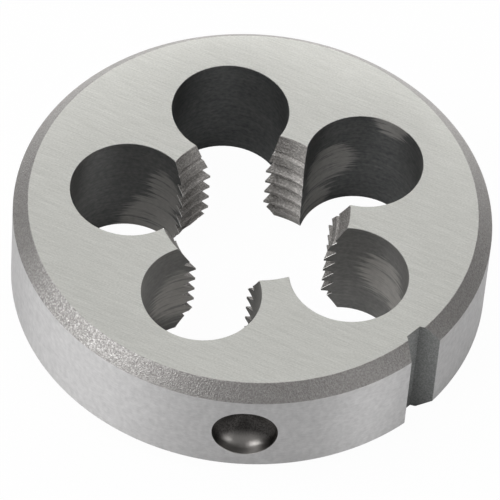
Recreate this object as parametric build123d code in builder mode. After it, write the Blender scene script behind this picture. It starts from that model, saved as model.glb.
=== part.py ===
from build123d import *
import os
from math import ceil, radians, tan

# A solid round die that cuts an M14 x 1.25 thread by hand.
# The thread axis is Z, the lower face lies on Z = 0, and the adjusting notch points along +X.

# ---------------------------------------------------------------- driving dimensions (mm, degrees)

# Thread that the die cuts, right-hand
thread_diameter = 14.0
thread_pitch = 1.25
flank_angle = 60.0  # included, between the two sides of a groove
thread_lift = 0.565  # a groove's bottom passes this far above the lower face, in line with the notch

# Body
body_diameter = 38.0
body_height = 10.0
edge_chamfer = 1.15  # at 45 degrees, on both faces

# Chip holes, drilled right through around the thread so that each opens into it
chip_hole_count = 5
chip_hole_diameter = 9.4
chip_hole_circle = 20.0  # diameter of the circle through their centres
chip_hole_turn = 2.3  # the first hole stands this far round from the notch

# Lead cones, one on each face, which start the thread on the bar
lead_mouth_diameter = 15.1
lead_angle = 25.0  # between the cone's wall and the thread axis

# Adjusting notch down the rim, where the ring is thinnest
notch_depth = 1.55
notch_floor_width = 1.45
notch_angle = 60.0  # included

# Drilled recesses in the rim for the holder's clamping screws, one on each side of the notch
recess_diameter = 5.1
recess_wall_depth = 0.5
recess_point_angle = 118.0  # included, left by the drill's point
recess_corner_radius = 0.5
recess_angle_apart = 93.2  # round the rim, from one recess to the other

# Cutting bodies run this far past the surface that they open
cut_margin = 1.0

# ---------------------------------------------------------------- sizes that follow

body_radius = body_diameter / 2
groove_radius = thread_diameter / 2

# Metric thread form: a sharp V, cut back by an eighth of its height at the groove's bottom
# and by a sixth at the tooth's tip
groove_slope = tan(radians(flank_angle / 2))
sharp_height = thread_pitch / (2 * groove_slope)
groove_bottom_width = thread_pitch / 8
tooth_tip_width = thread_pitch / 6
tooth_height = sharp_height * (1 - 1 / 8 - 1 / 6)
bore_radius = groove_radius - tooth_height

lead_slope = tan(radians(lead_angle))
lead_mouth_radius = lead_mouth_diameter / 2
lead_depth = (lead_mouth_radius - bore_radius) / lead_slope

# ---------------------------------------------------------------- cutting bodies

# One turn of the thread groove. It starts and ends in the middle of the first chip hole,
# so the joint between two turns falls in open space.
seam_direction = Vector(1, 0, 0).rotate(Axis.Z, chip_hole_turn)
seam_plan = Plane(origin=(0, 0, 0), x_dir=seam_direction)
seam_normal = seam_direction.cross(Vector(0, 0, 1))
seam_section = Plane(origin=(0, 0, 0), x_dir=seam_direction, z_dir=seam_normal)
groove_mouth_radius = bore_radius - tooth_tip_width / 4
groove_mouth_width = groove_bottom_width + 2 * (groove_radius - groove_mouth_radius) * groove_slope

with BuildPart() as groove_turn:
    with BuildLine(seam_plan) as groove_helix:
        Helix(pitch=thread_pitch, height=thread_pitch, radius=groove_radius)
    with BuildSketch(seam_section) as groove_profile:
        with BuildLine():
            Polyline(
                (groove_mouth_radius, -groove_mouth_width / 2),
                (groove_radius, -groove_bottom_width / 2),
                (groove_radius, groove_bottom_width / 2),
                (groove_mouth_radius, groove_mouth_width / 2),
                close=True,
            )
        make_face()
    sweep(path=groove_helix.wires()[0], is_frenet=True)

# The bore at the teeth's tips, with a lead cone opening from it to each face
lead_margin = cut_margin * lead_slope

with BuildPart() as bore_and_leads:
    with BuildSketch(Plane.XZ) as bore_profile:
        with BuildLine():
            Polyline(
                (0, -cut_margin),
                (lead_mouth_radius + lead_margin, -cut_margin),
                (bore_radius, lead_depth),
                (bore_radius, body_height - lead_depth),
                (lead_mouth_radius + lead_margin, body_height + cut_margin),
                (0, body_height + cut_margin),
                close=True,
            )
        make_face()
    revolve(axis=Axis.Z)

# The drill that sinks a screw recess, lying along the X axis with its point towards the centre
recess_radius = recess_diameter / 2
recess_wall_end = body_radius - recess_wall_depth
recess_point = recess_wall_end - recess_radius / tan(radians(recess_point_angle / 2))

with BuildPart() as recess_drill:
    with BuildSketch(Plane.XZ) as drill_profile:
        with BuildLine():
            Polyline(
                (recess_point, 0),
                (recess_wall_end, recess_radius),
                (body_radius + cut_margin, recess_radius),
                (body_radius + cut_margin, 0),
                close=True,
            )
        make_face()
        drill_corner = drill_profile.vertices().group_by(Axis.Y)[-1].sort_by(Axis.X)[0]
        fillet(drill_corner, radius=min(recess_corner_radius, recess_wall_depth))
    revolve(axis=Axis.X)

# ---------------------------------------------------------------- the die

notch_floor = body_radius - notch_depth
notch_mouth = body_radius + cut_margin
notch_mouth_width = notch_floor_width + 2 * (notch_mouth - notch_floor) * tan(radians(notch_angle / 2))

seam_lift = thread_lift + thread_pitch * chip_hole_turn / 360
groove_turns = range(-2, ceil(body_height / thread_pitch) + 1)
turn_starts = [(0, 0, seam_lift + turn * thread_pitch) for turn in groove_turns]

recess_places = [Location((0, 0, body_height / 2), (0, 0, side * recess_angle_apart / 2)) for side in (-1, 1)]

with BuildPart() as threading_die:
    with BuildSketch() as blank_outline:
        Circle(body_radius)
    extrude(amount=body_height)
    chamfer(edges().filter_by(GeomType.CIRCLE), length=edge_chamfer)

    add(bore_and_leads.part, mode=Mode.SUBTRACT)

    with PolarLocations(chip_hole_circle / 2, chip_hole_count, start_angle=chip_hole_turn):
        Hole(chip_hole_diameter / 2)

    with BuildSketch() as notch_profile:
        with BuildLine():
            Polyline(
                (notch_floor, -notch_floor_width / 2),
                (notch_mouth, -notch_mouth_width / 2),
                (notch_mouth, notch_mouth_width / 2),
                (notch_floor, notch_floor_width / 2),
                close=True,
            )
        make_face()
    extrude(amount=body_height, mode=Mode.SUBTRACT)

    with Locations(*recess_places):
        add(recess_drill.part, mode=Mode.SUBTRACT)

    with Locations(*turn_starts):
        add(groove_turn.part, mode=Mode.SUBTRACT)

threading_die.part.label = "threading_die"
os.makedirs("parts", exist_ok=True)
export_step(threading_die.part, "parts/threading_die.step")

print(f"bore at the teeth's tips {2 * bore_radius:.3f}, teeth {tooth_height:.3f} high")
print(f"lead cones {lead_depth:.2f} deep, {lead_depth / thread_pitch:.1f} pitches")
print(f"volume {threading_die.part.volume:.0f}, faces {len(threading_die.part.faces())}")
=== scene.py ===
# %% [markdown]
# # A round threading die
#
# A round die cuts an outside thread: it is turned down a bar by hand, and its teeth cut the
# groove while five chip holes take the swarf away. This lesson builds how such a die looks. It
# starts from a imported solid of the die, the frame, and covers it with one closed mesh that
# carries the finishes. Lengths are in millimetres until they are put into a mesh, because
# Blender works in metres.

import math

import bmesh
import bpy
import numpy as np
from mathutils import Matrix, Vector


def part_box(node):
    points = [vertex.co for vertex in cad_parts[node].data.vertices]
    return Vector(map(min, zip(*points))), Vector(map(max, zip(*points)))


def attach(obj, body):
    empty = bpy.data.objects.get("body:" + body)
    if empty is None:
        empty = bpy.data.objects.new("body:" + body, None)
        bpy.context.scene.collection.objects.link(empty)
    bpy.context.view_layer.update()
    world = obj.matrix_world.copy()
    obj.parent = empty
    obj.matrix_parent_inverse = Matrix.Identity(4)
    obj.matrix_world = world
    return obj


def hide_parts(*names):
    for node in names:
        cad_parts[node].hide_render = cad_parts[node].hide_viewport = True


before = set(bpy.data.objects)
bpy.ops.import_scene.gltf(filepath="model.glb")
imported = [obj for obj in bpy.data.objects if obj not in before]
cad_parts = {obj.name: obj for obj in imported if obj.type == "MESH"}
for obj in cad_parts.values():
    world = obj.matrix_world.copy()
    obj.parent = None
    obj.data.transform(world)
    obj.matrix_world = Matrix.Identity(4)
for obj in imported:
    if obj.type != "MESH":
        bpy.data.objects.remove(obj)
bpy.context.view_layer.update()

MM = 0.001
solid = "threading_die"
low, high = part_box(solid)
print("solid from", [round(v / MM, 2) for v in low], "to", [round(v / MM, 2) for v in high], "mm")

# %% [markdown]
# ## Where we look from
#
# A long lens from 40 cm away, looking down a little more steeply than half a right angle, shows
# a small tool as a catalogue does: nearly without perspective, with the ground face, the
# chamfer and the rim all in view. The camera is set by its angles round the die, then turned a
# little about its own line of sight.

# %% The camera
camera_azimuth = 41.12  # degrees from the front, -Y, towards +X
camera_elevation = 50.62
camera_roll = 4.69
camera_distance = 403.3  # mm, like every length from here on
camera_target = Vector((4.687, -5.362, 12.985))
lens_length = 373.96
sensor_width = 36.0


def look_from(azimuth, elevation, roll):
    """Columns right, up and back of a camera at those angles round Z, rolled about its back."""
    around = math.radians(azimuth)
    above = math.radians(elevation)
    tilt = math.radians(roll)
    level = math.cos(above)
    back = Vector((math.sin(around) * level, -math.cos(around) * level, math.sin(above)))
    right = Vector((math.cos(around), math.sin(around), 0))
    up = back.cross(right)
    turned_right = right * math.cos(tilt) + up * math.sin(tilt)
    turned_up = up * math.cos(tilt) - right * math.sin(tilt)
    return Matrix((turned_right, turned_up, back)).transposed()


camera_data = bpy.data.cameras.new("camera")
camera_data.sensor_width = sensor_width
camera_data.lens = lens_length
camera = bpy.data.objects.new("camera", camera_data)
camera_turn = look_from(camera_azimuth, camera_elevation, camera_roll)
camera_place = (camera_target + camera_turn.col[2] * camera_distance) * MM
camera.matrix_world = Matrix.Translation(camera_place) @ camera_turn.to_4x4()
bpy.context.scene.collection.objects.link(camera)
bpy.context.scene.camera = camera
print("camera at", [round(v / MM) for v in camera_place], "mm")

# %% [markdown]
# ## The sizes of the die
#
# The die cuts M14 x 1.25: the letter says metric, 14 is the bar's diameter and 1.25 the pitch,
# the distance from one groove to the next. The sizes are those of the solid, but for the small
# errors that a workshop leaves on one die: the drilling jig, the tap and the reamer each ran
# about a tenth of a millimetre off true, and without that the teeth look too perfect.

# %% Sizes of the body and its holes
body_radius = 19.0
body_height = 10.0
edge_chamfer = 1.15

hole_count = 5
hole_radius = 4.7
hole_circle_radius = 10.0
first_hole_angle = 2.03  # degrees round from the notch
hole_jig_shift = (0.10, 0.05)  # the whole circle of holes stands this far off the axis, X and Y
hole_spacing = 360 / hole_count

edge_break = 0.03  # the stoned edge of holes and lands at the two faces
print(f"body {2 * body_radius:.0f} mm across, {hole_count} holes of {2 * hole_radius:.1f} mm")

# %% Sizes of the thread
pitch = 1.25
groove_radius = 7.0
thread_lift = 0.668  # height of a groove's middle in line with the notch, before the lean
thread_lean = 0.10  # the tap leaned, so the thread stands this much higher on one side
thread_lean_way = 125.0  # degrees round to that side

# The metric form is a sharp V, of which the groove's bottom and the tooth's tip leave out a part.
flank_angle = 60.0  # between the two sides of a groove
bottom_cut = 1 / 8  # of the V's height
tip_cut = 1 / 6
groove_slope = math.tan(math.radians(flank_angle / 2))  # sideways per unit of depth
sharp_height = pitch / (2 * groove_slope)
groove_bottom_width = pitch * bottom_cut
tooth_height = sharp_height * (1 - bottom_cut - tip_cut)
bore_radius = groove_radius - tooth_height

lead_angle = 26.5  # between a lead cone's wall and the axis
lead_slope = math.tan(math.radians(lead_angle))
# Radius of a lead cone at its face, how far its reamer ran off the axis, and to which side
upper_lead = (7.587, 0.136, -19.5)
lower_lead = (7.50, 0.08, 115.0)
print(f"teeth {tooth_height:.3f} mm high, tips {2 * bore_radius:.2f} mm across")

# %% [markdown]
# ## The thread as a function
#
# A tap cuts a real thread: it climbs one pitch for each turn. So the surface is a function,
# with one radius for each angle round the axis and each height. A profile could also be twisted
# up the axis, by a Screw modifier for instance. The function is better here, because it gives
# every land its own teeth, cut off just where the lead cones and the chip holes cut them.


# %% The radius of the lands
def groove_middle(angle):
    """Height of a groove's middle: it climbs one pitch in 360 degrees, and leans by a cosine."""
    lean = thread_lean * np.cos(np.radians(angle - thread_lean_way))
    return thread_lift + pitch * angle / 360 + lean


def lead_mouth(lead, angle):
    """Radius of a lead cone where it meets its face: a circle shifted a little, by a cosine."""
    radius, shift, way = lead
    return radius + shift * np.cos(np.radians(angle - way))


def crest_radius(angle, height):
    """Teeth's tips: the bore, or a lead cone where it is wider, mouth less depth times slope."""
    upper = lead_mouth(upper_lead, angle) - (body_height - height) * lead_slope
    lower = lead_mouth(lower_lead, angle) - height * lead_slope
    return np.maximum(bore_radius, np.maximum(upper, lower))


def land_radius(angle, height):
    """Larger of the crest and the groove, which narrows from its middle outwards by its slope."""
    middle = groove_middle(angle)
    off_middle = np.abs((height - middle + pitch / 2) % pitch - pitch / 2)
    flank_run = np.maximum(off_middle - groove_bottom_width / 2, 0)
    return np.maximum(crest_radius(angle, height), groove_radius - flank_run / groove_slope)


sample_steps = 5
sample_heights = body_height / 2 + pitch * np.linspace(0, 1, sample_steps + 1)
print("land radius in line with the notch, over one pitch:")
print(np.round(land_radius(0, sample_heights), 2))

# %% [markdown]
# ## Rows that run along the thread
#
# A grid shows a sharp edge well only when a row of points lies on it. Level rows would be
# simpler, but they would step across every tooth. So the rows are helical: four of them in each
# turn follow the edges of the groove, and the others lie between. Near the faces the lead cone
# cuts the teeth down, and the rows on the tips follow the edge it leaves.

# %% Count the rows
rows_up_flank = 3
rows_over_tip = 2
rows_over_bottom = 2
first_turn = -3
last_turn = 10

# Each turn has four edges: where the lower flank leaves the tip, the two edges of the bottom,
# and where the upper flank reaches the next tip.
edge_side = np.array([-1, -1, 1, 1])
edge_on_tip = np.array([1, 0, 0, 1])
steps_after_edge = np.array([rows_up_flank, rows_over_bottom, rows_up_flank, rows_over_tip])
turn_edges = len(steps_after_edge)

turn_count = last_turn - first_turn
steps_after_each = np.tile(steps_after_edge, turn_count)
edge_number = np.repeat(np.arange(turn_edges * turn_count), steps_after_each)
first_in_edge = np.r_[True, np.diff(edge_number) > 0]
step_in_edge = np.arange(len(edge_number)) - np.flatnonzero(first_in_edge)[edge_number]
row_fraction = (step_in_edge / steps_after_each[edge_number])[:, None]

# One more row at each end carries the edge break out to the faces.
edge_number = np.r_[edge_number[0], edge_number, edge_number[-1]][:, None]
row_fraction = np.vstack([row_fraction[:1], row_fraction, row_fraction[-1:]])
row_count = len(edge_number)
row_low = np.full((row_count, 1), edge_break)
row_high = np.full((row_count, 1), body_height - edge_break)
row_low[0], row_high[0] = 0, 0
row_low[-1], row_high[-1] = body_height, body_height
row_grow = np.zeros((row_count, 1))
row_grow[[0, -1]] = edge_break
print(row_count, "rows, in", turn_count, "turns of the thread")


# %% Height of every row
def edge_height(number, angle):
    """Height of a groove's edge: its middle, half the bottom's width to one side, and on a tip
    edge also the flank's reach, which ends at the nearest of the bore and the two cones."""
    turn = number // turn_edges + first_turn
    side = edge_side[number % turn_edges]
    on_tip = edge_on_tip[number % turn_edges]
    middle = groove_middle(angle) + pitch * turn
    bottom_edge = middle + side * groove_bottom_width / 2
    reach = np.full(np.broadcast(number, angle).shape, np.inf)
    # Each line that the tips lie on: its radius at height 0, and its radius for each mm up
    crest_lines = (
        (bore_radius, 0.0),
        (lead_mouth(lower_lead, angle), -lead_slope),
        (lead_mouth(upper_lead, angle) - body_height * lead_slope, lead_slope),
    )
    for at_zero, per_height in crest_lines:
        rise = groove_radius - at_zero - per_height * bottom_edge
        reach = np.minimum(reach, rise / (1 / groove_slope + side * per_height))
    return bottom_edge + side * on_tip * np.maximum(reach, 0)


def row_heights(angle):
    """Height of every row at an angle: between its edge and the next one, by the row's fraction."""
    here = edge_height(edge_number, angle)
    after = edge_height(edge_number + 1, angle)
    return here + (after - here) * row_fraction


def held_in(height):
    """Heights held between the two faces, so rows that run off the die fold onto its edge."""
    return np.clip(height, row_low, row_high)


end_rows = row_heights(0)[[0, -1], 0]
print("rows in line with the notch, from", np.round(end_rows, 2), "mm, held between the faces")

# %% [markdown]
# ## Lands
#
# In plan, the inside of the die is a flower: five round chip holes, and between them five
# lands that carry the teeth. A land ends where its surface meets the wall of a hole. The
# cosine rule gives that corner for a known radius, but the radius changes with the angle, so
# the rule is repeated until the corner stops moving, which takes a few rounds.

# %% Corners of the lands
corner_rounds = 8


def hole_place(number):
    """Distance from the axis and angle round it of a hole's middle: its place on the circle,
    plus the jig's shift along and across the line to it."""
    angle = first_hole_angle + hole_spacing * number
    cosine, sine = math.cos(math.radians(angle)), math.sin(math.radians(angle))
    along = hole_circle_radius + hole_jig_shift[0] * cosine + hole_jig_shift[1] * sine
    across = hole_jig_shift[1] * cosine - hole_jig_shift[0] * sine
    return math.hypot(along, across), angle + math.degrees(math.atan2(across, along))


def corner_turn(radius, distance, grow):
    """Degrees from a hole's middle to the corner, by the cosine rule on axis, hole and corner."""
    wall = hole_radius + grow
    return np.degrees(np.arccos((radius**2 + distance**2 - wall**2) / (2 * radius * distance)))


def land_corner(number, side):
    """Angle of every row's corner on one side of a hole, and the height there, not yet held in."""
    distance, hole_angle = hole_place(number)
    first_guess = hole_angle + side * corner_turn(groove_radius, distance, 0)
    angle = np.full((row_count, 1), first_guess)
    for _ in range(corner_rounds):
        radius = land_radius(angle, held_in(row_heights(angle))) + row_grow
        angle = hole_angle + side * corner_turn(radius, distance, row_grow)
    return angle, row_heights(angle)


print("corners of a land, degrees:", np.round(land_corner(0, 1)[0][row_count // 2], 2))

# %% Points of a land
land_steps = 16
cutting_bevel = 0.035  # the hone takes this much off both sides of a cutting edge


def round_axis(radius, angle, height):
    """Points at a radius and angle round Z, from whole arrays of one shape."""
    turned = np.radians(angle)
    x = radius * np.cos(turned)
    y = radius * np.sin(turned)
    return np.stack(np.broadcast_arrays(x, y, height), -1)


def land_points(number):
    """Grid over one land: rows along the thread, columns from one hole's corner to the next,
    each end held back from the corner by the bevel."""
    held_back = math.degrees(cutting_bevel / groove_radius)
    left = land_corner(number, 1)[0] + held_back
    right = land_corner(number + 1, -1)[0] - held_back
    angle = left + (right - left) * np.linspace(0, 1, land_steps + 1)
    height = held_in(row_heights(angle))
    return round_axis(land_radius(angle, height) + row_grow, angle, height)


print("a land is", round(float(np.ptp(land_points(0)[row_count // 2, :, 1])), 2), "mm wide")

# %% [markdown]
# ## Chip holes
#
# The holes are drilled right through, so each wall is part of a plain cylinder, but both its
# ends follow the teeth. A Boolean could cut such a hole, and would leave long thin triangles
# along the teeth that shade badly. Here most columns stand still on the outer side of the hole,
# and a few are stretched from there to the corner, which moves with each row.

# %% Points of a hole's wall
wall_start = 130.0  # degrees each way from the hole's outermost line, where no tooth reaches
wall_steps = 26  # on each side of that line
corner_steps = 4  # between there and the corner
middle_column = wall_steps + corner_steps


def wall_end(number, side):
    """Angle about the hole of its wall's end at the bevel, and the height of each row there."""
    distance, hole_angle = hole_place(number)
    angle, height = land_corner(number, side)
    radius = land_radius(angle, held_in(height)) + row_grow
    turn = np.radians(angle - hole_angle)
    corner = np.degrees(np.arctan2(radius * np.sin(turn), radius * np.cos(turn) - distance))
    return corner - side * math.degrees(cutting_bevel / hole_radius), height


def wall_points(number, part=slice(None)):
    """Grid over one hole's wall: columns from the land before it, round the outer side, to the
    land after it. A row climbs evenly from the height of one corner to that of the other."""
    distance, hole_angle = hole_place(number)
    first_angle, first_height = wall_end(number, -1)
    last_angle, last_height = wall_end(number, 1)
    near = np.linspace(0, 1, corner_steps + 1)[:-1]
    before = first_angle + (-wall_start - first_angle) * near
    middle = np.tile(np.linspace(-wall_start, wall_start, 2 * wall_steps + 1), (row_count, 1))
    after = wall_start + (last_angle - wall_start) * (1 - near[::-1])
    about_hole = np.concatenate([before, middle, after], axis=1)
    climb = np.linspace(0, 1, about_hole.shape[1])
    height = held_in(first_height + (last_height - first_height) * climb)
    wall = round_axis(hole_radius + row_grow, about_hole + hole_angle, height)
    return (wall + round_axis(distance, hole_angle, 0.0))[:, part]


print("a hole's wall has", wall_points(0).shape[:2], "points")

# %% [markdown]
# ## Joining the inside
#
# The columns go once round the die, from the middle of the first hole back to it. There the
# thread is one pitch higher, so every row meets another row of the same grid, and merging
# points that coincide closes the seam. Rows that ran off the faces fold onto the edge and
# vanish in the same step. Each face remembers its finish, so one mesh can carry them all.

# %% The inside as one grid
finishes = [
    "ground_face",
    "turned_chamfer",
    "ground_rim",
    "drilled_hole",
    "cut_thread",
    "cutting_edge",
    "milled_notch",
    "drilled_recess",
]


def grid_faces(rows, columns, inward=False):
    """Corner numbers of each square of a grid; inward turns the faces the other way."""
    corner = (np.arange(rows - 1)[:, None] * columns + np.arange(columns - 1)).ravel()
    order = (0, columns, columns + 1, 1) if inward else (0, 1, columns + 1, columns)
    return corner[:, None] + np.array(order)


# The first and last strip are the two halves of the same hole.
wall_parts = [slice(None)] * (hole_count + 1)
wall_parts[0] = slice(middle_column, None)
wall_parts[-1] = slice(None, middle_column + 1)

strips = []
strip_finish = []
for number, part in enumerate(wall_parts):
    wall = wall_points(number, part)
    strips.append(wall)
    strip_finish += ["drilled_hole"] * (wall.shape[1] - 1)
    if number < hole_count:
        strips.append(land_points(number))
        strip_finish += ["cutting_edge"] + ["cut_thread"] * land_steps + ["cutting_edge"]

inside = np.concatenate(strips, axis=1)
inside_faces = grid_faces(*inside.shape[:2], inward=True)
inside_finish = np.tile([finishes.index(name) for name in strip_finish], inside.shape[0] - 1)
print("inside", inside.shape[:2], "points,", len(inside_faces), "faces")

# %% [markdown]
# ## The outside
#
# The blank is turned in a lathe, so its outside is a profile of a few straight lines carried
# round the axis. A Bevel modifier could round its corners, but it would have to guess at the
# notch, so the small rounds are in the profile itself.

# %% The rim's profile
edge_round = 0.1
round_steps = 4
chamfer_steps = 4
window_half = 3.4  # the rim's grid leaves a square window this large round each screw recess
window_steps = 16
face_radius = body_radius - edge_chamfer
face_run = 1.0  # the two end points only give the direction of the faces
rim_corners = np.array(
    [
        [face_radius - face_run, 0],
        [face_radius, 0],
        [body_radius, edge_chamfer],
        [body_radius, body_height - edge_chamfer],
        [face_radius, body_height],
        [face_radius - face_run, body_height],
    ]
)


def rounded_corner(before, corner, after, radius, steps):
    """Arc that touches both lines at a corner: a quadratic curve is near enough for a small one."""
    into = (corner - before) / np.linalg.norm(corner - before)
    out = (after - corner) / np.linalg.norm(after - corner)
    reach = radius * math.tan(math.acos(float(into @ out)) / 2)
    t = np.linspace(0, 1, steps + 1)[:, None]
    start = corner - into * reach
    end = corner + out * reach
    return (1 - t) ** 2 * start + 2 * t * (1 - t) * corner + t**2 * end


def between(start, end, steps):
    """Points inside a straight run, without its ends."""
    return start + (end - start) * (np.arange(1, steps) / steps)[:, None]


corner_arcs = [
    rounded_corner(before, corner, after, edge_round, round_steps)
    for before, corner, after in zip(rim_corners[:-2], rim_corners[1:-1], rim_corners[2:])
]
window_heights = body_height / 2 + np.linspace(-window_half, window_half, window_steps + 1)
window_rows = np.stack([np.full(window_steps + 1, body_radius), window_heights], -1)
profile = np.concatenate(
    [
        corner_arcs[0],
        between(corner_arcs[0][-1], corner_arcs[1][0], chamfer_steps),
        corner_arcs[1],
        window_rows,
        corner_arcs[2],
        between(corner_arcs[2][-1], corner_arcs[3][0], chamfer_steps),
        corner_arcs[3],
    ]
)
window_row = len(corner_arcs[0]) + chamfer_steps - 1 + len(corner_arcs[1])
print("profile of", len(profile), "rows, the windows start at row", window_row)

# %% [markdown]
# ## The adjusting notch
#
# The ring is thinnest behind this notch. Where it is cut through there, a pointed screw in the
# holder springs it open a little; this one is still whole. The notch is part of the same grid
# as the rim: its floor and walls keep their place while the profile's radius changes, so each
# row only has to find where the wall ends on it. That keeps the notch's edges crisp.

# %% The notch
notch_floor = 17.45
notch_floor_half = 0.725
notch_angle = 60.0  # between its two walls
notch_floor_steps = 4
notch_wall_steps = 5
notch_wall_turn = math.radians(notch_angle / 2)


def notch_wall_length(radius):
    """Length of the notch's wall out to a radius, from the circle's equation along the wall."""
    along = notch_floor * math.cos(notch_wall_turn)
    along += notch_floor_half * math.sin(notch_wall_turn)
    start = math.hypot(notch_floor, notch_floor_half)
    return -along + np.sqrt(along**2 + radius**2 - start**2)


def notch_wall_points(radius, height, side):
    """Grid over one wall of the notch, from its floor out to an edge break short of the rim."""
    run = (notch_wall_length(radius) - edge_break) * np.linspace(0, 1, notch_wall_steps + 1)
    x = notch_floor + run * math.cos(notch_wall_turn)
    y = side * (notch_floor_half + run * math.sin(notch_wall_turn))
    return np.stack(np.broadcast_arrays(x, y, height), -1)


radius = profile[:, :1]
height = profile[:, 1:]
floor_y = np.linspace(-notch_floor_half, notch_floor_half, notch_floor_steps + 1)
notch_floor_points = np.stack(np.broadcast_arrays(notch_floor, floor_y, height), -1)
wall_length = notch_wall_length(radius)
mouth_x = notch_floor + wall_length * math.cos(notch_wall_turn)
mouth_y = notch_floor_half + wall_length * math.sin(notch_wall_turn)
rim_start = np.degrees(np.arctan2(mouth_y, mouth_x) + edge_break / radius)
print("the notch is", round(2 * float(mouth_y.max()), 2), "mm wide at its mouth")

# %% [markdown]
# ## Columns round the rim
#
# The columns stand close together so that the rim's outline is round even in a close view. Two
# square windows are kept free for the screw recesses, and the columns are laid out so that a
# window starts and ends on one.

# %% The rim's columns
first_fixed_angle = 6.5  # degrees from the notch, from where the columns stand upright
column_step = 1.28
recess_angle = 46.6  # each way from the notch
window_turn = math.degrees(window_half / body_radius)
window_starts = [recess_angle - window_turn, 360 - recess_angle - window_turn]

stops = [first_fixed_angle]
for start in window_starts:
    stops += [start, start + 2 * window_turn]
stops.append(360 - first_fixed_angle)
fixed_angles = [np.array([first_fixed_angle])]
for start, end in zip(stops[:-1], stops[1:]):
    steps = window_steps if start in window_starts else math.ceil((end - start) / column_step)
    fixed_angles.append(np.linspace(start, end, steps + 1)[1:])
fixed_angles = np.concatenate(fixed_angles)

upright = np.tile(fixed_angles, (len(profile), 1))
rim_angles = np.concatenate([rim_start, upright, 360 - rim_start], axis=1)
outside = np.concatenate(
    [
        notch_floor_points,
        notch_wall_points(radius, height, 1)[:, 1:],
        round_axis(radius, rim_angles, height),
        notch_wall_points(radius, height, -1)[:, ::-1],
    ],
    axis=1,
)
print("outside", outside.shape[:2], "points")

# %% [markdown]
# ## Finishes and windows of the outside
#
# A face's row says whether it lies on a chamfer or on the rim, and its column whether it lies
# in the notch. The faces of the two windows are left out.

# %% Sort the outside's faces
outside_faces = grid_faces(*outside.shape[:2])
face_row, face_column = np.divmod(np.arange(len(outside_faces)), outside.shape[1] - 1)
chamfer_rows = len(corner_arcs[0]) + chamfer_steps - 1 + round_steps // 2
is_rim = (face_row >= chamfer_rows) & (face_row < len(profile) - 1 - chamfer_rows)
rim_number = finishes.index("ground_rim")
outside_finish = np.where(is_rim, rim_number, finishes.index("turned_chamfer"))

notch_columns = notch_floor_steps + notch_wall_steps
last_wall = outside.shape[1] - 2 - notch_wall_steps
is_notch = (face_column <= notch_columns) | (face_column >= last_wall)
outside_finish[is_notch] = finishes.index("milled_notch")

in_window = np.zeros(len(outside_faces), bool)
for start in window_starts:
    first = notch_columns + 2 + int(np.argmin(np.abs(fixed_angles - start)))
    in_window |= (face_column >= first) & (face_column < first + window_steps)
in_window &= (face_row >= window_row) & (face_row < window_row + window_steps)
outside_faces = outside_faces[~in_window]
outside_finish = outside_finish[~in_window]
print(in_window.sum(), "faces left out for the recesses")

# %% [markdown]
# ## Screw recesses
#
# The holder's clamping screws press into two shallow drilled recesses. A drill leaves a short
# wall and a cone, joined by the round that the drill's worn corners make, and a point that is a
# little blunt. On this die they are drilled somewhat deeper than the solid's plain sizes say.
# The shape is that profile carried round the recess's own axis. A Boolean with a cone would cut
# it too, but the rings of even faces mirror the lamps more smoothly.

# %% The drill's profile
recess_radius = 2.55
recess_wall_depth = 0.95
recess_corner = 0.85
recess_point_round = 0.3
recess_break = 0.03
recess_point_angle = 118.0  # included, as on a common twist drill
recess_round_steps = 8
recess_cone_steps = 12

recess_wall_end = body_radius - recess_wall_depth
half_point = math.radians(recess_point_angle / 2)
corner_reach = recess_corner * math.tan(half_point / 2)
bend = np.linspace(0, half_point, recess_round_steps + 1)
round_out = recess_wall_end + corner_reach - recess_corner * np.sin(bend)
round_across = recess_radius - recess_corner * (1 - np.cos(bend))

# The blunt cone is a hyperbola, drawn back a little so that it starts where the round ends.
cone_left = 1 - np.arange(1, recess_cone_steps + 1) / recess_cone_steps
cone_across = round_across[-1] * cone_left
cone_rise = cone_across / math.tan(half_point)
blunt_rise = np.hypot(cone_rise, recess_point_round)
sharp_point = recess_wall_end - recess_radius / math.tan(half_point)
cone_out = sharp_point + blunt_rise - (blunt_rise[0] - cone_rise[0])

drill_across = np.concatenate([[recess_radius], round_across, cone_across])[:, None]
drill_out = np.concatenate([[0.0], round_out, cone_out])[:, None]
print("recess", round(body_radius - float(cone_out[-1]), 2), "mm deep")

# %% [markdown]
# ## From square to circle
#
# Round a recess, the square window of the rim's grid has to be drawn in to the drill's circle,
# so that no edge is left open. Each ring of points lies on the rim's cylinder and moves a part
# of the way, in the angle round the rim and in height.

# %% A recess
apron_steps = 4  # rings between the square and the circle

up = np.linspace(-window_half, window_half, window_steps + 1)
across = np.linspace(-window_turn, window_turn, window_steps + 1)
on_side = np.ones(window_steps)
square_turn = [on_side * window_turn, across[:0:-1], on_side * -window_turn, across[:-1]]
square_turn = np.concatenate(square_turn)
square_up = [up[:-1], on_side * window_half, up[:0:-1], on_side * -window_half]
square_up = np.concatenate(square_up)
spoke = np.arctan2(square_up, body_radius * np.sin(np.radians(square_turn)))


def on_rim(across):
    """Distance out to the rim's cylinder, by Pythagoras, at a distance across from its middle."""
    return np.sqrt(body_radius**2 - across**2)


def apron_rings():
    """Rings on the rim, each a part of the way from the square to the mouth's circle: how far
    out, across and up from the middle of the recess."""
    mouth = recess_radius + recess_break
    mouth_turn = np.degrees(np.arcsin(mouth * np.cos(spoke) / body_radius))
    pull = np.linspace(0, 1, apron_steps + 1)[:, None]
    turn = square_turn + (mouth_turn - square_turn) * pull
    ring_across = body_radius * np.sin(np.radians(turn))
    ring_up = square_up + (mouth * np.sin(spoke) - square_up) * pull
    return on_rim(ring_across), ring_across, ring_up


def drill_rings():
    """The drill's profile carried round its axis, its first ring just below the rim's edge."""
    ring_out = drill_out * np.ones(len(spoke))
    ring_out[0] = on_rim(recess_radius * np.cos(spoke)) - recess_break
    return ring_out, drill_across * np.cos(spoke), drill_across * np.sin(spoke)


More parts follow.
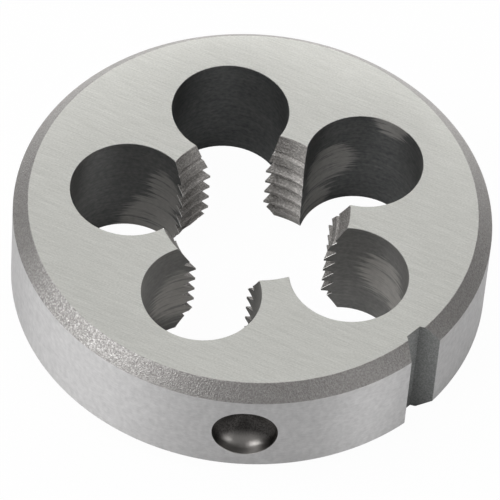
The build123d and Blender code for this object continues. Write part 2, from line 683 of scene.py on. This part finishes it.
def recess_points(middle_angle):
    """All rings of a recess, turned round Z to its place and closed by their first column."""
    out, across, up = np.concatenate([apron_rings(), drill_rings()], axis=1)
    turned = np.radians(middle_angle)
    x = out * np.cos(turned) - across * np.sin(turned)
    y = out * np.sin(turned) + across * np.cos(turned)
    rings = np.stack([x, y, up + body_height / 2], -1)
    return np.concatenate([rings, rings[:, :1]], axis=1)


recesses = [recess_points(side * recess_angle) for side in (1, -1)]
recess_faces = grid_faces(*recesses[0].shape[:2])
ring_of_face = np.arange(len(recess_faces)) // (recesses[0].shape[1] - 1)
is_apron = ring_of_face < apron_steps
recess_finish = np.where(is_apron, rim_number, finishes.index("drilled_recess"))
print("recess", recesses[0].shape[:2], "points")

# %% [markdown]
# ## One closed skin
#
# The patches are put into one mesh and the points that coincide are merged. What is still open
# is the flat upper and lower face, each between its outer edge and the flower of the holes, and
# a fill of triangles closes it.

# %% Put the patches together
parts = [(inside, inside_faces, inside_finish), (outside, outside_faces, outside_finish)]
parts += [(points, recess_faces, recess_finish) for points in recesses]
part_points = [part[0].reshape(-1, 3) for part in parts]
offsets = np.cumsum([0] + [len(points) for points in part_points[:-1]])
points = np.concatenate(part_points)
faces = np.concatenate([part[1] + offset for part, offset in zip(parts, offsets)])
face_finish = np.concatenate([part[2] for part in parts])

die_mesh = bpy.data.meshes.new("ground_die")
die_mesh.from_pydata((points * MM).tolist(), [], faces.tolist())
die_mesh.polygons.foreach_set("material_index", face_finish.astype(np.int32))
print(len(parts), "patches,", len(faces), "faces")

# %% Merge and close
merge_distance = 0.002
level_tolerance = 0.01  # an edge this near a face's height belongs to that face

shape = bmesh.new()
shape.from_mesh(die_mesh)
bmesh.ops.remove_doubles(shape, verts=shape.verts, dist=merge_distance * MM)
bmesh.ops.dissolve_degenerate(shape, edges=shape.edges, dist=merge_distance * MM / 2)
for level, facing in ((0.0, -1), (body_height * MM, 1)):
    open_edges = [
        edge
        for edge in shape.edges
        if edge.is_boundary and abs(edge.verts[0].co.z - level) < level_tolerance * MM
    ]
    filled = bmesh.ops.triangle_fill(
        shape, edges=open_edges, use_beauty=True, normal=(0, 0, facing)
    )
    for item in filled["geom"]:
        if isinstance(item, bmesh.types.BMFace):
            item.material_index = finishes.index("ground_face")
            if item.normal.z * facing < 0:
                item.normal_flip()
loose_ends = sum(not edge.is_manifold for edge in shape.edges)
skin_volume = shape.calc_volume(signed=True) / MM**3
shape.to_mesh(die_mesh)
shape.free()
print("edges without exactly two faces:", loose_ends, " volume:", round(skin_volume), "mm3")

# %% [markdown]
# ## Smooth runs, sharp edges and a direction for the recesses
#
# The cell above counts the edges that lack exactly two faces, of which a closed skin has none,
# and prints the skin's volume. Its faces are shaded smooth, except where they meet at more than
# a slight angle. The recesses' finish will also need to know how far each point lies from the
# middle of its recess, and a material can't work that out for two places at once, so the mesh
# carries it.

# %% Shading
sharp_angle = 28.0

corners = np.empty(3 * len(die_mesh.vertices), np.float32)
die_mesh.vertices.foreach_get("co", corners)
corners = corners.reshape(-1, 3)
recess_turn = math.radians(recess_angle)
recess_middle = np.array([math.cos(recess_turn), math.sin(recess_turn), 0]) * body_radius * MM
recess_middle[2] = body_height / 2 * MM
# The second recess is the first one mirrored in Y.
mirror = np.where(corners[:, 1:2] < 0, np.array([[1, -1, 1]]), np.array([[1, 1, 1]]))
away = ((corners * mirror - recess_middle) * mirror).astype(np.float32)
away_from_recess = die_mesh.attributes.new("away_from_recess", "FLOAT_VECTOR", "POINT")
away_from_recess.data.foreach_set("vector", away.ravel())

die_mesh.polygons.foreach_set("use_smooth", np.ones(len(die_mesh.polygons), bool))
die_mesh.set_sharp_from_angle(angle=math.radians(sharp_angle))
die_mesh.update()
triangles = sum(len(face.vertices) - 2 for face in die_mesh.polygons)
print("the skin has", triangles, "triangles")

# %% [markdown]
# ## In place of the solid
#
# The skin rides on the same body as the solid and takes its place in the render.

# %% The die
die = bpy.data.objects.new("ground_die", die_mesh)
bpy.context.scene.collection.objects.link(die)
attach(die, "root")
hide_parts(solid)
print("die", [round(v / MM, 2) for v in die.dimensions], "mm")

# %% [markdown]
# ## Materials
#
# The whole die is one bar of tool steel, yet it shows several finishes, because they were made
# at different times. Threads, holes and chamfers are cut while the steel is soft. Hardening in
# the furnace then leaves them with a thin dark scale. At the end only the two faces and the rim
# are ground, which takes the scale off and leaves bright metal with fine lines.
#
# Steel has no colour of its own apart from its mirror tone, so every finish is a metal whose
# base colour says how much scale is left on it, and in a few places also carries painted light
# and shade. A cut or ground surface has fine parallel grooves, and they smear a highlight
# across themselves: that is anisotropy, and its tangent points across the grooves. On everything
# turned, drilled or ground round, that is up the axis.


# %% Add nodes
def linear(hex_colour):
    """sRGB hex to linear: each channel over 1.055 with its foot added, to the power 2.4."""
    parts = [int(hex_colour[i : i + 2], 16) / 255 for i in (1, 3, 5)]
    bent = [p / 12.92 if p <= 0.04045 else ((p + 0.055) / 1.055) ** 2.4 for p in parts]
    return (*bent, 1.0)


def add_node(tree, kind, inputs=None, **settings):
    """One node with its own settings, and its inputs by name or number, each a value or a link.
    A Mix node has inputs of the same names for numbers, 0, 2 and 3, and colours, 0, 6 and 7."""
    node = tree.nodes.new(kind)
    for name, value in settings.items():
        setattr(node, name, value)
    for name, value in (inputs or {}).items():
        if isinstance(value, bpy.types.NodeSocket):
            tree.links.new(value, node.inputs[name])
        else:
            node.inputs[name].default_value = value
    return node


print("mid grey is", [round(v, 3) for v in linear("#808080")[:3]], "in linear light")

# %% [markdown]
# ### A bar of steel, a pattern, a place and a finish
#
# Every finish below is made of the same few steps. It starts as bare steel with its own
# roughness. Noise makes the pattern, with a grain of a real size, so that it can be checked
# with a ruler. Some patterns fade with the distance from a place where light is painted into
# the colour. At the end the pattern mixes two tones and raises the surface a little.

# %% Helpers for the finishes
axis_way = (0.0, 0.0, 1.0)


def new_steel(name, roughness, spread, across_grooves=axis_way):
    """A steel material: returns its tree, its shader and the place of a point on the die.
    Spread is the anisotropy, and across_grooves the direction in which highlights are smeared.
    The tangent's socket holds no value of its own, so that direction comes from a node."""
    material = bpy.data.materials.new(name)
    material.use_nodes = True
    tree = material.node_tree
    tree.nodes.clear()
    steel = {"Metallic": 1.0, "Roughness": roughness, "Anisotropic": spread}
    shader = add_node(tree, "ShaderNodeBsdfPrincipled", steel)
    add_node(tree, "ShaderNodeOutputMaterial", {"Surface": shader.outputs["BSDF"]})
    if across_grooves:
        x, y, z = across_grooves
        way = add_node(tree, "ShaderNodeCombineXYZ", {"X": x, "Y": y, "Z": z})
        tree.links.new(way.outputs[0], shader.inputs["Tangent"])
    place = add_node(tree, "ShaderNodeTexCoord")
    return tree, shader, place.outputs["Object"]


def grain(tree, place, size, turn=0.0, detail=2.0, low=0.3, high=0.7, shift=0.0):
    """Noise with grains of a size in mm along X, Y and Z, after a turn round Z in degrees. The
    noise mostly lies between 0.3 and 0.7, so low and high stretch it to the full 0 to 1."""
    turning = {"Vector": place, "Angle": -math.radians(turn)}
    turned = add_node(tree, "ShaderNodeVectorRotate", turning, rotation_type="Z_AXIS")
    per_metre = tuple(1 / (s * MM) for s in size)
    scaling = {0: turned.outputs[0], 1: per_metre, 2: (shift, shift, shift)}
    scaled = add_node(tree, "ShaderNodeVectorMath", scaling, operation="MULTIPLY_ADD")
    waves = {"Vector": scaled.outputs[0], "Scale": 1.0, "Detail": detail}
    noise = add_node(tree, "ShaderNodeTexNoise", waves)
    stretch = {"Value": noise.outputs["Fac"], "From Min": low, "From Max": high}
    spread = add_node(tree, "ShaderNodeMapRange", stretch)
    return spread.outputs[0]


def nearness(tree, place, middle, full_within, gone_by, most=1.0):
    """How near a point is to a middle: most within the first distance, falling to 0 at the
    second. All in mm."""
    ends = {0: place, 1: tuple(v * MM for v in middle)}
    off = add_node(tree, "ShaderNodeVectorMath", ends, operation="DISTANCE")
    fade = {"From Min": gone_by * MM, "From Max": full_within * MM, "To Max": most}
    fade["Value"] = off.outputs["Value"]
    near = add_node(tree, "ShaderNodeMapRange", fade)
    return near.outputs[0]


def dress(tree, shader, share, dark, light, relief=None, strength=0.0, rise=0.0):
    """Give the steel its tone, from dark to light, both sRGB hex, by a share from 0 to 1. Relief
    is the pattern that also raises the surface, by a strength and a rise in mm."""
    tones = {0: share, 6: linear(dark), 7: linear(light)}
    mixed = add_node(tree, "ShaderNodeMix", tones, data_type="RGBA")
    tree.links.new(mixed.outputs[2], shader.inputs["Base Color"])
    if relief:
        raised = {"Height": relief, "Strength": strength, "Distance": rise * MM}
        bump = add_node(tree, "ShaderNodeBump", raised)
        tree.links.new(bump.outputs[0], shader.inputs["Normal"])


print("each pattern's size is in mm, each tone an sRGB hex value")

# %% [markdown]
# ### Surface-ground tool steel: the two faces
#
# A surface grinder drives the part back and forth under a wide wheel, and its grit leaves
# straight lines, here at 19 degrees to the notch. Bright, slightly warm grey, with a highlight
# smeared across the lines. Real lines are some hundredths of a millimetre apart, too fine to
# show, so they are drawn 0.09 mm wide. A coarser layer stands for passes of the wheel, and a
# fine one for the grit's small tears.

# %% Ground face
grinding_turn = 19.4  # degrees from the notch
wheel_turn = grinding_turn - 2.0  # the passes overlap at a slightly different angle
line_size = (2.2, 0.09, 1.0)  # mm along the grinding, across it and up
pass_size = (7.0, 0.4, 1.0)
tear_size = (0.16, 0.12, 0.1)
pass_share = 0.25
tear_share = 0.45
across_turn = math.radians(grinding_turn)
grinding_across = (-math.sin(across_turn), math.cos(across_turn), 0.0)

tree, shader, place = new_steel(
    "surface_ground_tool_steel", roughness=0.36, spread=0.6, across_grooves=grinding_across
)
lines = grain(tree, place, line_size, turn=grinding_turn, detail=2.0)
passes = grain(tree, place, pass_size, turn=wheel_turn, detail=1.0)
tears = grain(tree, place, tear_size, turn=grinding_turn, detail=4.0)
lined = add_node(tree, "ShaderNodeMix", {0: pass_share, 2: lines, 3: passes}).outputs[0]
ground = add_node(tree, "ShaderNodeMix", {0: tear_share, 2: lined, 3: tears}).outputs[0]
dress(tree, shader, ground, "#B2B2AD", "#D3D3CE", relief=lines, strength=0.25, rise=0.01)
print("faces: ground lines", line_size[1], "mm wide at", grinding_turn, "degrees")

# %% [markdown]
# ### Turned and hardened tool steel: the chamfers
#
# The chamfer keeps its furnace scale, which was brushed thin. It looks grey and a little
# granular, and where a lamp is mirrored it glitters, because each small facet throws its own
# spark. Facets 0.1 mm wide tilt the surface by a few degrees; real ones are finer and are drawn
# as coarse as they need to show. Round one place on the edge, bright specks are painted into
# the colour: painted glints that fade out within 9 mm.

# %% Turned chamfer
facet_size = (0.1, 0.1, 0.1)
speck_size = (0.14, 0.14, 0.14)
glint_size = (0.17, 0.17, 0.17)
speck_share = 0.36
# painted glints: a painted highlight, full near this place and gone by the reach
painted_glint_place = (-0.6, -18.3, 9.4)  # mm, on the chamfer
painted_glint_reach = 9.0
painted_glint_core = 0.4 * painted_glint_reach
painted_glint_share = 0.85

tree, shader, place = new_steel("turned_hardened_tool_steel", roughness=0.44, spread=0.75)
facets = grain(tree, place, facet_size, detail=1.0)
specks = grain(tree, place, speck_size, detail=3.0, low=0.35, high=0.7, shift=7.0)
glints = grain(tree, place, glint_size, detail=5.0, low=0.46, high=0.72, shift=9.0)
# glints painted into the colour round that place, a painted highlight
painted_glint_near = nearness(tree, place, painted_glint_place, painted_glint_core, painted_glint_reach, painted_glint_share)
sparks = add_node(tree, "ShaderNodeMath", {0: glints, 1: painted_glint_near}, operation="MULTIPLY").outputs[0]
speckled = {0: specks, 1: speck_share, 2: sparks}
bare_and_painted_light = add_node(tree, "ShaderNodeMath", speckled, operation="MULTIPLY_ADD").outputs[0]
dress(tree, shader, bare_and_painted_light, "#9B9896", "#E4E2E0", relief=facets, strength=1.0, rise=0.02)
print("chamfers: facets", facet_size[0], "mm wide, painted glints within", painted_glint_reach, "mm of one place")

# %% [markdown]
# ### Cylinder-ground tool steel: the rim
#
# The die turns under a grinding wheel, so the lines run round the rim and smear every
# reflection up and down. That is why the rim shows soft upright bands of light. It is the
# brightest finish here, with only faint clouds and lines. The lines are drawn 0.1 mm wide, some
# ten times too coarse, because real ones would not show at all.

# %% Ground rim
line_size = (0.5, 0.5, 0.1)
cloud_size = (0.45, 0.45, 0.6)
cloud_share = 0.6

tree, shader, place = new_steel("cylinder_ground_tool_steel", roughness=0.5, spread=0.9)
lines = grain(tree, place, line_size, detail=2.0)
clouds = grain(tree, place, cloud_size, detail=5.0, shift=3.0)
clouded = add_node(tree, "ShaderNodeMix", {0: cloud_share, 2: lines, 3: clouds}).outputs[0]
dress(tree, shader, clouded, "#CDCCCC", "#E4E3E3", relief=lines, strength=0.1, rise=0.02)
print("rim: lines", line_size[2], "mm wide, clouds", cloud_size[0], "mm")

# %% [markdown]
# ### Drilled and hardened tool steel: the chip holes
#
# Drilled walls carry rings from the drill's feed, about 0.2 mm a turn, and keep the thickest
# scale, a dull grey-black with little of the metal's mirror. The walls are painted lighter
# towards one side of the die, painted light where more light reaches into the holes, and
# brown-grey patches of painted light lie where lamps reach down a wall. Painting each patch by
# hand would need an image, so a patch is a soft ball round a place on a wall, and the rings
# fray its edge.

# %% Drilled holes: patches of painted light
# x, y and z of the middle of each patch of painted light and how far it reaches, all in mm
painted_light_places = [
    (-8.0, -1.4, 5.6, 2.3),
    (-8.6, -1.6, 1.8, 3.2),
    (-10.0, -2.0, 0.3, 2.6),
    (-1.8, 10.6, 4.7, 3.0),
    (-1.9, 9.2, 1.2, 2.2),
    (7.5, 12.0, 3.0, 3.0),
    (1.6, 14.1, 9.8, 1.9),
    (9.9, 5.1, 5.3, 2.9),
    (12.3, 4.4, 3.6, 2.6),
    (-0.3, -7.4, 4.0, 3.4),
]
ring_size = (3.0, 3.0, 0.2)
# a patch of painted light is full within this part of its reach and gone from the next on
painted_light_core = 0.6  # a patch is fully rubbed within this part of its reach
painted_light_end = 1.1  # and not at all from this part on
fray = 0.9  # how strongly the rings move the edge of a patch
frayed_from = 0.88
frayed_to = 1.35

tree, shader, place = new_steel("drilled_hardened_tool_steel", roughness=0.5, spread=0.5)
rings = grain(tree, place, ring_size, detail=3.0)
painted_light_share = 0.0
for *middle, reach in painted_light_places:
    near = nearness(tree, place, middle, painted_light_core * reach, painted_light_end * reach)
    painted_light_share = add_node(tree, "ShaderNodeMath", {0: near, 1: painted_light_share}, operation="MAXIMUM").outputs[0]
frayed = add_node(tree, "ShaderNodeMath", {0: rings, 1: fray, 2: painted_light_share}, operation="MULTIPLY_ADD")
ragged = {"Value": frayed.outputs[0], "From Min": frayed_from, "From Max": frayed_to}
painted_patch = add_node(tree, "ShaderNodeMapRange", ragged).outputs[0]
print(len(painted_light_places), "patches of painted light in the holes")

# %% Drilled holes: the scale and a painted lighter side
mottle_size = (0.35, 0.35, 0.25)
mottle_share = 0.65
# painted light: the walls are painted lighter towards this side of the die
painted_light_side_turn = math.radians(-45)  # the scale gets thinner towards here, across the die
painted_light_side_half = 9.0  # mm each way from the axis
painted_light_side_way = (math.cos(painted_light_side_turn), math.sin(painted_light_side_turn), 0.0)
texture_weight = 0.25
painted_side_weight = 0.4
painted_patch_weight = 0.5

mottle = grain(tree, place, mottle_size, detail=6.0, shift=5.0)
onto_way = {0: place, 1: painted_light_side_way}
along = add_node(tree, "ShaderNodeVectorMath", onto_way, operation="DOT_PRODUCT")
across_die = {"From Min": -painted_light_side_half * MM, "From Max": painted_light_side_half * MM}
across_die["Value"] = along.outputs["Value"]
painted_side_light = add_node(tree, "ShaderNodeMapRange", across_die).outputs[0]
texture = add_node(tree, "ShaderNodeMix", {0: mottle_share, 2: rings, 3: mottle}).outputs[0]

bare_and_painted_light = 0.0
# tone: the scale's random texture, then the painted lighter side and the painted patches
for layer, weight in ((texture, texture_weight), (painted_side_light, painted_side_weight), (painted_patch, painted_patch_weight)):
    added = {0: layer, 1: weight, 2: bare_and_painted_light}
    bare_and_painted_light = add_node(tree, "ShaderNodeMath", added, operation="MULTIPLY_ADD").outputs[0]
dress(tree, shader, bare_and_painted_light, "#606364", "#CBC8C4", relief=rings, strength=0.2, rise=0.03)
print("holes: rings", ring_size[2], "mm apart, mottle", mottle_size[0], "mm")

# %% [markdown]
# ### Cut and hardened tool steel: the threads
#
# The tap that cut these teeth left a torn, matt surface, grey-brown under thin scale. It
# scatters light widely and glitters a little where a lamp is near its mirror direction. Two
# lands are painted brighter round one place each, painted light where the lamps fall on them.
# The tears are drawn 0.12 mm wide, the least that shows.

# %% Cut threads
torn_size = (0.8, 0.8, 0.12)
facet_size = (0.12, 0.12, 0.12)
glint_size = (0.16, 0.16, 0.1)
glint_share = 0.6
texture_weight = 0.6
# places round which light is painted onto two lands, a painted highlight
painted_land_places = [(0.3, 7.2), (-6.8, 2.5)]  # x and y, mm
painted_land_reach = 3.6
painted_land_core = 0.3 * painted_land_reach
painted_land_share = 0.46
plan = (1.0, 1.0, 0.0)

tree, shader, place = new_steel("cut_hardened_tool_steel", roughness=0.68, spread=0.0)
tears = grain(tree, place, torn_size, detail=3.0)
facets = grain(tree, place, facet_size, detail=2.0, shift=11.0)
glints = grain(tree, place, glint_size, detail=3.0, low=0.45, high=0.65, shift=2.0)
texture = add_node(tree, "ShaderNodeMix", {0: glint_share, 2: tears, 3: glints}).outputs[0]
weighed = {0: texture, 1: texture_weight}
bare_and_painted_light = add_node(tree, "ShaderNodeMath", weighed, operation="MULTIPLY").outputs[0]

# The painted light reaches over the lands' full height, so only the distance in plan counts.
in_plan = add_node(tree, "ShaderNodeVectorMath", {0: place, 1: plan}, operation="MULTIPLY").outputs[0]
for x, y in painted_land_places:
    middle = (x, y, 0.0)
    near = nearness(tree, in_plan, middle, painted_land_core, painted_land_reach, painted_land_share)
    bare_and_painted_light = add_node(tree, "ShaderNodeMath", {0: bare_and_painted_light, 1: near}, operation="ADD").outputs[0]
dress(tree, shader, bare_and_painted_light, "#84817E", "#ECE9E6", relief=facets, strength=1.0, rise=0.03)
print("threads: tears", torn_size[2], "mm,", len(painted_land_places), "lands painted brighter")

# %% [markdown]
# ### Honed tool steel: the cutting edges
#
# Where a tooth meets the wall of a chip hole lies its cutting edge. A hone has touched it after
# hardening, and it shines as a thin bright line, broken here and there by a small nick.

# %% Cutting edges
nick_size = (0.25, 0.25, 0.25)

tree, shader, place = new_steel("honed_tool_steel", roughness=0.35, spread=0.0)
nicks = grain(tree, place, nick_size, detail=2.0, shift=4.0)
dress(tree, shader, nicks, "#A8A6A3", "#E8E7E5")
print("cutting edges: honed bright, nicks", nick_size[0], "mm")

# %% [markdown]
# ### Milled and hardened tool steel: the notch
#
# A cutter made the notch in one pass up the rim. Its walls are even and dull, with a fine
# speckle of scale, drawn 0.12 mm wide so that it shows at all.

# %% Milled notch
speckle_size = (0.12, 0.12, 0.16)

tree, shader, place = new_steel("milled_hardened_tool_steel", roughness=0.5, spread=0.2)
speckle = grain(tree, place, speckle_size, detail=3.0)
dress(tree, shader, speckle, "#7E807F", "#A2A3A2", relief=speckle, strength=0.3, rise=0.02)
print("notch: speckle", speckle_size[0], "mm")

# %% [markdown]
# ### Point-drilled and hardened tool steel: the screw recesses
#
# The drill's lips leave rings round the recess's own axis, so the tangent differs from point to
# point: away from that axis. It comes from the mesh, as an attribute. Two soft rays of light
# follow from it, as on the bottom of a pan. The scale is nearly black, with painted shade in
# the upper part of the recess and painted light in the lower part.

# %% Screw recesses
mottle_size = (0.12, 0.12, 0.12)
mottle_share = 0.08
# painted shade above this height in the recess, painted light below the next one
painted_shade_until = -1.3  # mm above the middle of the recess, where the scale starts to be worn
painted_light_from = -2.8

tree, shader, place = new_steel(
    "point_drilled_hardened_tool_steel", roughness=0.38, spread=0.75, across_grooves=None
)
away = add_node(tree, "ShaderNodeAttribute", attribute_name="away_from_recess").outputs["Vector"]
tree.links.new(away, shader.inputs["Tangent"])
above = add_node(tree, "ShaderNodeSeparateXYZ", {"Vector": away}).outputs["Z"]
fade = {"Value": above, "From Min": painted_shade_until * MM, "From Max": painted_light_from * MM}
# painted shade high in the recess, fading to painted light low in it
painted_light_below = add_node(tree, "ShaderNodeMapRange", fade, interpolation_type="SMOOTHSTEP").outputs[0]
mottle = grain(tree, place, mottle_size, detail=3.0)
bare_and_painted_light = add_node(tree, "ShaderNodeMix", {0: mottle_share, 2: painted_light_below, 3: mottle}).outputs[0]
dress(tree, shader, bare_and_painted_light, "#2E2C2B", "#E2DEDA", relief=mottle, strength=0.2, rise=0.01)
print("recesses: rings round their own axis, painted shade above", painted_shade_until, "mm")

# %% [markdown]
# ### Give the finishes to the mesh
#
# A face's material number is the place of its finish in the list, so the materials go into the
# mesh in the order of that list.

# %% Finishes on the mesh
finish_steels = {
    "ground_face": "surface_ground_tool_steel",
    "turned_chamfer": "turned_hardened_tool_steel",
    "ground_rim": "cylinder_ground_tool_steel",
    "drilled_hole": "drilled_hardened_tool_steel",
    "cut_thread": "cut_hardened_tool_steel",
    "cutting_edge": "honed_tool_steel",
    "milled_notch": "milled_hardened_tool_steel",
    "drilled_recess": "point_drilled_hardened_tool_steel",
}
for finish in finishes:
    die_mesh.materials.append(bpy.data.materials[finish_steels[finish]])
print("finishes:", ", ".join(finishes))

# %% [markdown]
# ## The sheet it stands on
#
# The die stands on white paper. A lamp bright enough to make paper white would burn out the
# steel, so the sheet glows for rays that come straight from the camera or through glass, and
# for others it is ordinary matt paper, which gives the die its light from below and a soft
# shade. The steel also mirrors the sheet: it sees some of the glow, but not close under the
# die, where real paper lies in the dark. The sheet is a hair below the die and open from below,
# so that the lower face can be looked at, and that face does mirror some glow, across the
# hair's breadth between them.

# %% Floor
floor_half = 3.0  # metres
floor_level = -0.02 * MM
floor_mesh = bpy.data.meshes.new("floor_sheet")
floor_corners = [
    (-floor_half, -floor_half, floor_level),
    (floor_half, -floor_half, floor_level),
    (floor_half, floor_half, floor_level),
    (-floor_half, floor_half, floor_level),
]
floor_mesh.from_pydata(floor_corners, [], [(0, 1, 2, 3)])
floor = bpy.data.objects.new("floor_sheet", floor_mesh)
bpy.context.scene.collection.objects.link(floor)
print("floor", 2 * floor_half, "m wide,", -floor_level / MM, "mm below the die")


# %% A share for each kind of ray
def share_by_ray(tree, ray, glossy, through, straight):
    """How much of the brighter side a ray sees: the given share for its own kind, which is a
    reflection, a ray through glass or one straight from the camera, and 0 for any other."""
    share = 0.0
    kinds = {"Is Glossy Ray": glossy, "Is Transmission Ray": through, "Is Camera Ray": straight}
    for kind, strength in kinds.items():
        own = {0: ray.outputs[kind], 1: strength}
        own_share = add_node(tree, "ShaderNodeMath", own, operation="MULTIPLY").outputs[0]
        larger = {0: own_share, 1: share}
        share = add_node(tree, "ShaderNodeMath", larger, operation="MAXIMUM").outputs[0]
    return share


white = (1, 1, 1, 1)
print("three kinds of ray see more than the others")

# %% Paper
sheet_glow = 0.975
mirrored_glow = 0.36
shaded_within = 18.0  # mm from the axis, where the die keeps the light off the sheet
clear_from = 22.0
touching_from = 0.1  # mm, a reflection from the lower face straight onto the sheet
touching_within = 0.05

paper = bpy.data.materials.new("matt_white_paper")
paper.use_nodes = True
tree = paper.node_tree
tree.nodes.clear()
matt = add_node(tree, "ShaderNodeBsdfDiffuse", {"Color": linear("#F4F4F4")}).outputs[0]
glow = add_node(tree, "ShaderNodeEmission", {"Color": white, "Strength": 1.0}).outputs[0]
ray = add_node(tree, "ShaderNodeLightPath")
sheet_place = add_node(tree, "ShaderNodeTexCoord").outputs["Object"]
from_axis = add_node(tree, "ShaderNodeVectorMath", {0: sheet_place}, operation="LENGTH")
out_of_shade = {"From Min": shaded_within * MM, "From Max": clear_from * MM, "To Max": mirrored_glow}
out_of_shade["Value"] = from_axis.outputs["Value"]
clear = add_node(tree, "ShaderNodeMapRange", out_of_shade).outputs[0]
short = {"From Min": touching_from * MM, "From Max": touching_within * MM, "To Max": mirrored_glow}
short["Value"] = ray.outputs["Ray Length"]
touching = add_node(tree, "ShaderNodeMapRange", short).outputs[0]
mirrored = add_node(tree, "ShaderNodeMath", {0: clear, 1: touching}, operation="MAXIMUM").outputs[0]

share = share_by_ray(tree, ray, mirrored, sheet_glow, sheet_glow)
lit = add_node(tree, "ShaderNodeMixShader", {0: share, 1: matt, 2: glow}).outputs[0]
side = add_node(tree, "ShaderNodeNewGeometry").outputs["Backfacing"]
open_below = add_node(tree, "ShaderNodeBsdfTransparent").outputs[0]
sheet = add_node(tree, "ShaderNodeMixShader", {0: side, 1: lit, 2: open_below}).outputs[0]
add_node(tree, "ShaderNodeOutputMaterial", {"Surface": sheet})
floor_mesh.materials.append(paper)
print("paper glows", sheet_glow, "for the camera and", mirrored_glow, "in the steel")

# %% [markdown]
# ## The room
#
# Beyond the sheet the camera sees white. For the steel the room is mostly a dim grey, which
# fills the shadows, and a tenth of it is white again, because polished steel mirrors walls too.

# %% World
studio_grey = 0.14
mirrored_white = 0.1
world = bpy.data.worlds.new("studio")
bpy.context.scene.world = world
world.use_nodes = True
tree = world.node_tree
tree.nodes.clear()
bright = add_node(tree, "ShaderNodeBackground", {"Color": white, "Strength": 1.0}).outputs[0]
room = add_node(tree, "ShaderNodeBackground", {"Color": white, "Strength": studio_grey}).outputs[0]
ray = add_node(tree, "ShaderNodeLightPath")
share = share_by_ray(tree, ray, mirrored_white, 1.0, 1.0)
both = add_node(tree, "ShaderNodeMixShader", {0: share, 1: room, 2: bright}).outputs[0]
add_node(tree, "ShaderNodeOutputWorld", {"Surface": both})
print("room grey", studio_grey)

# %% [markdown]
# ## Lamps
#
# Steel shows its lamps more than itself, so they are large and soft. The left, right and back
# ones stand where the rim mirrors them, as upright bands. The back and top ones stand below and
# above the direction that the faces mirror, so a face shines evenly and not in a spot. Each is
# set by how bright its surface looks, so it can change its size without changing that.

# %% Lamps
lamp_distance = 260.0
die_middle = Vector((0, 0, body_height / 2 * MM))


def softbox(name, polar, elevation, width, height, radiance):
    """A rectangular lamp aimed at the die from an angle round Z and a height above it, in
    degrees. Its size is in mm, and its power is its radiance times pi and its area."""
    lamp = bpy.data.lights.new(name, "AREA")
    lamp.shape = "RECTANGLE"
    lamp.size = width * MM
    lamp.size_y = height * MM
    lamp.energy = radiance * math.pi * width * height * MM**2
    around = math.radians(polar)
    above = math.radians(elevation)
    level = math.cos(above)
    towards = Vector((math.cos(around) * level, math.sin(around) * level, math.sin(above)))
    holder = bpy.data.objects.new(name, lamp)
    moved = Matrix.Translation(die_middle + towards * lamp_distance * MM)
    holder.matrix_world = moved @ towards.to_track_quat("Z", "Y").to_matrix().to_4x4()
    bpy.context.scene.collection.objects.link(holder)
    return lamp


softboxes = [
    softbox("left_softbox", polar=-121, elevation=50, width=230, height=160, radiance=3.0),
    softbox("back_softbox", polar=132, elevation=25, width=300, height=120, radiance=3.0),
    softbox("right_softbox", polar=4, elevation=18, width=110, height=130, radiance=1.6),
    softbox("top_softbox", polar=131, elevation=85, width=160, height=160, radiance=1.35),
]
print("lamps:", [f"{lamp.name} {lamp.energy:.2f} W" for lamp in softboxes])

# %% [markdown]
# ## Colours
#
# The Standard view shows a colour as it was written.

# %% Colours
bpy.context.scene.view_settings.view_transform = "Standard"
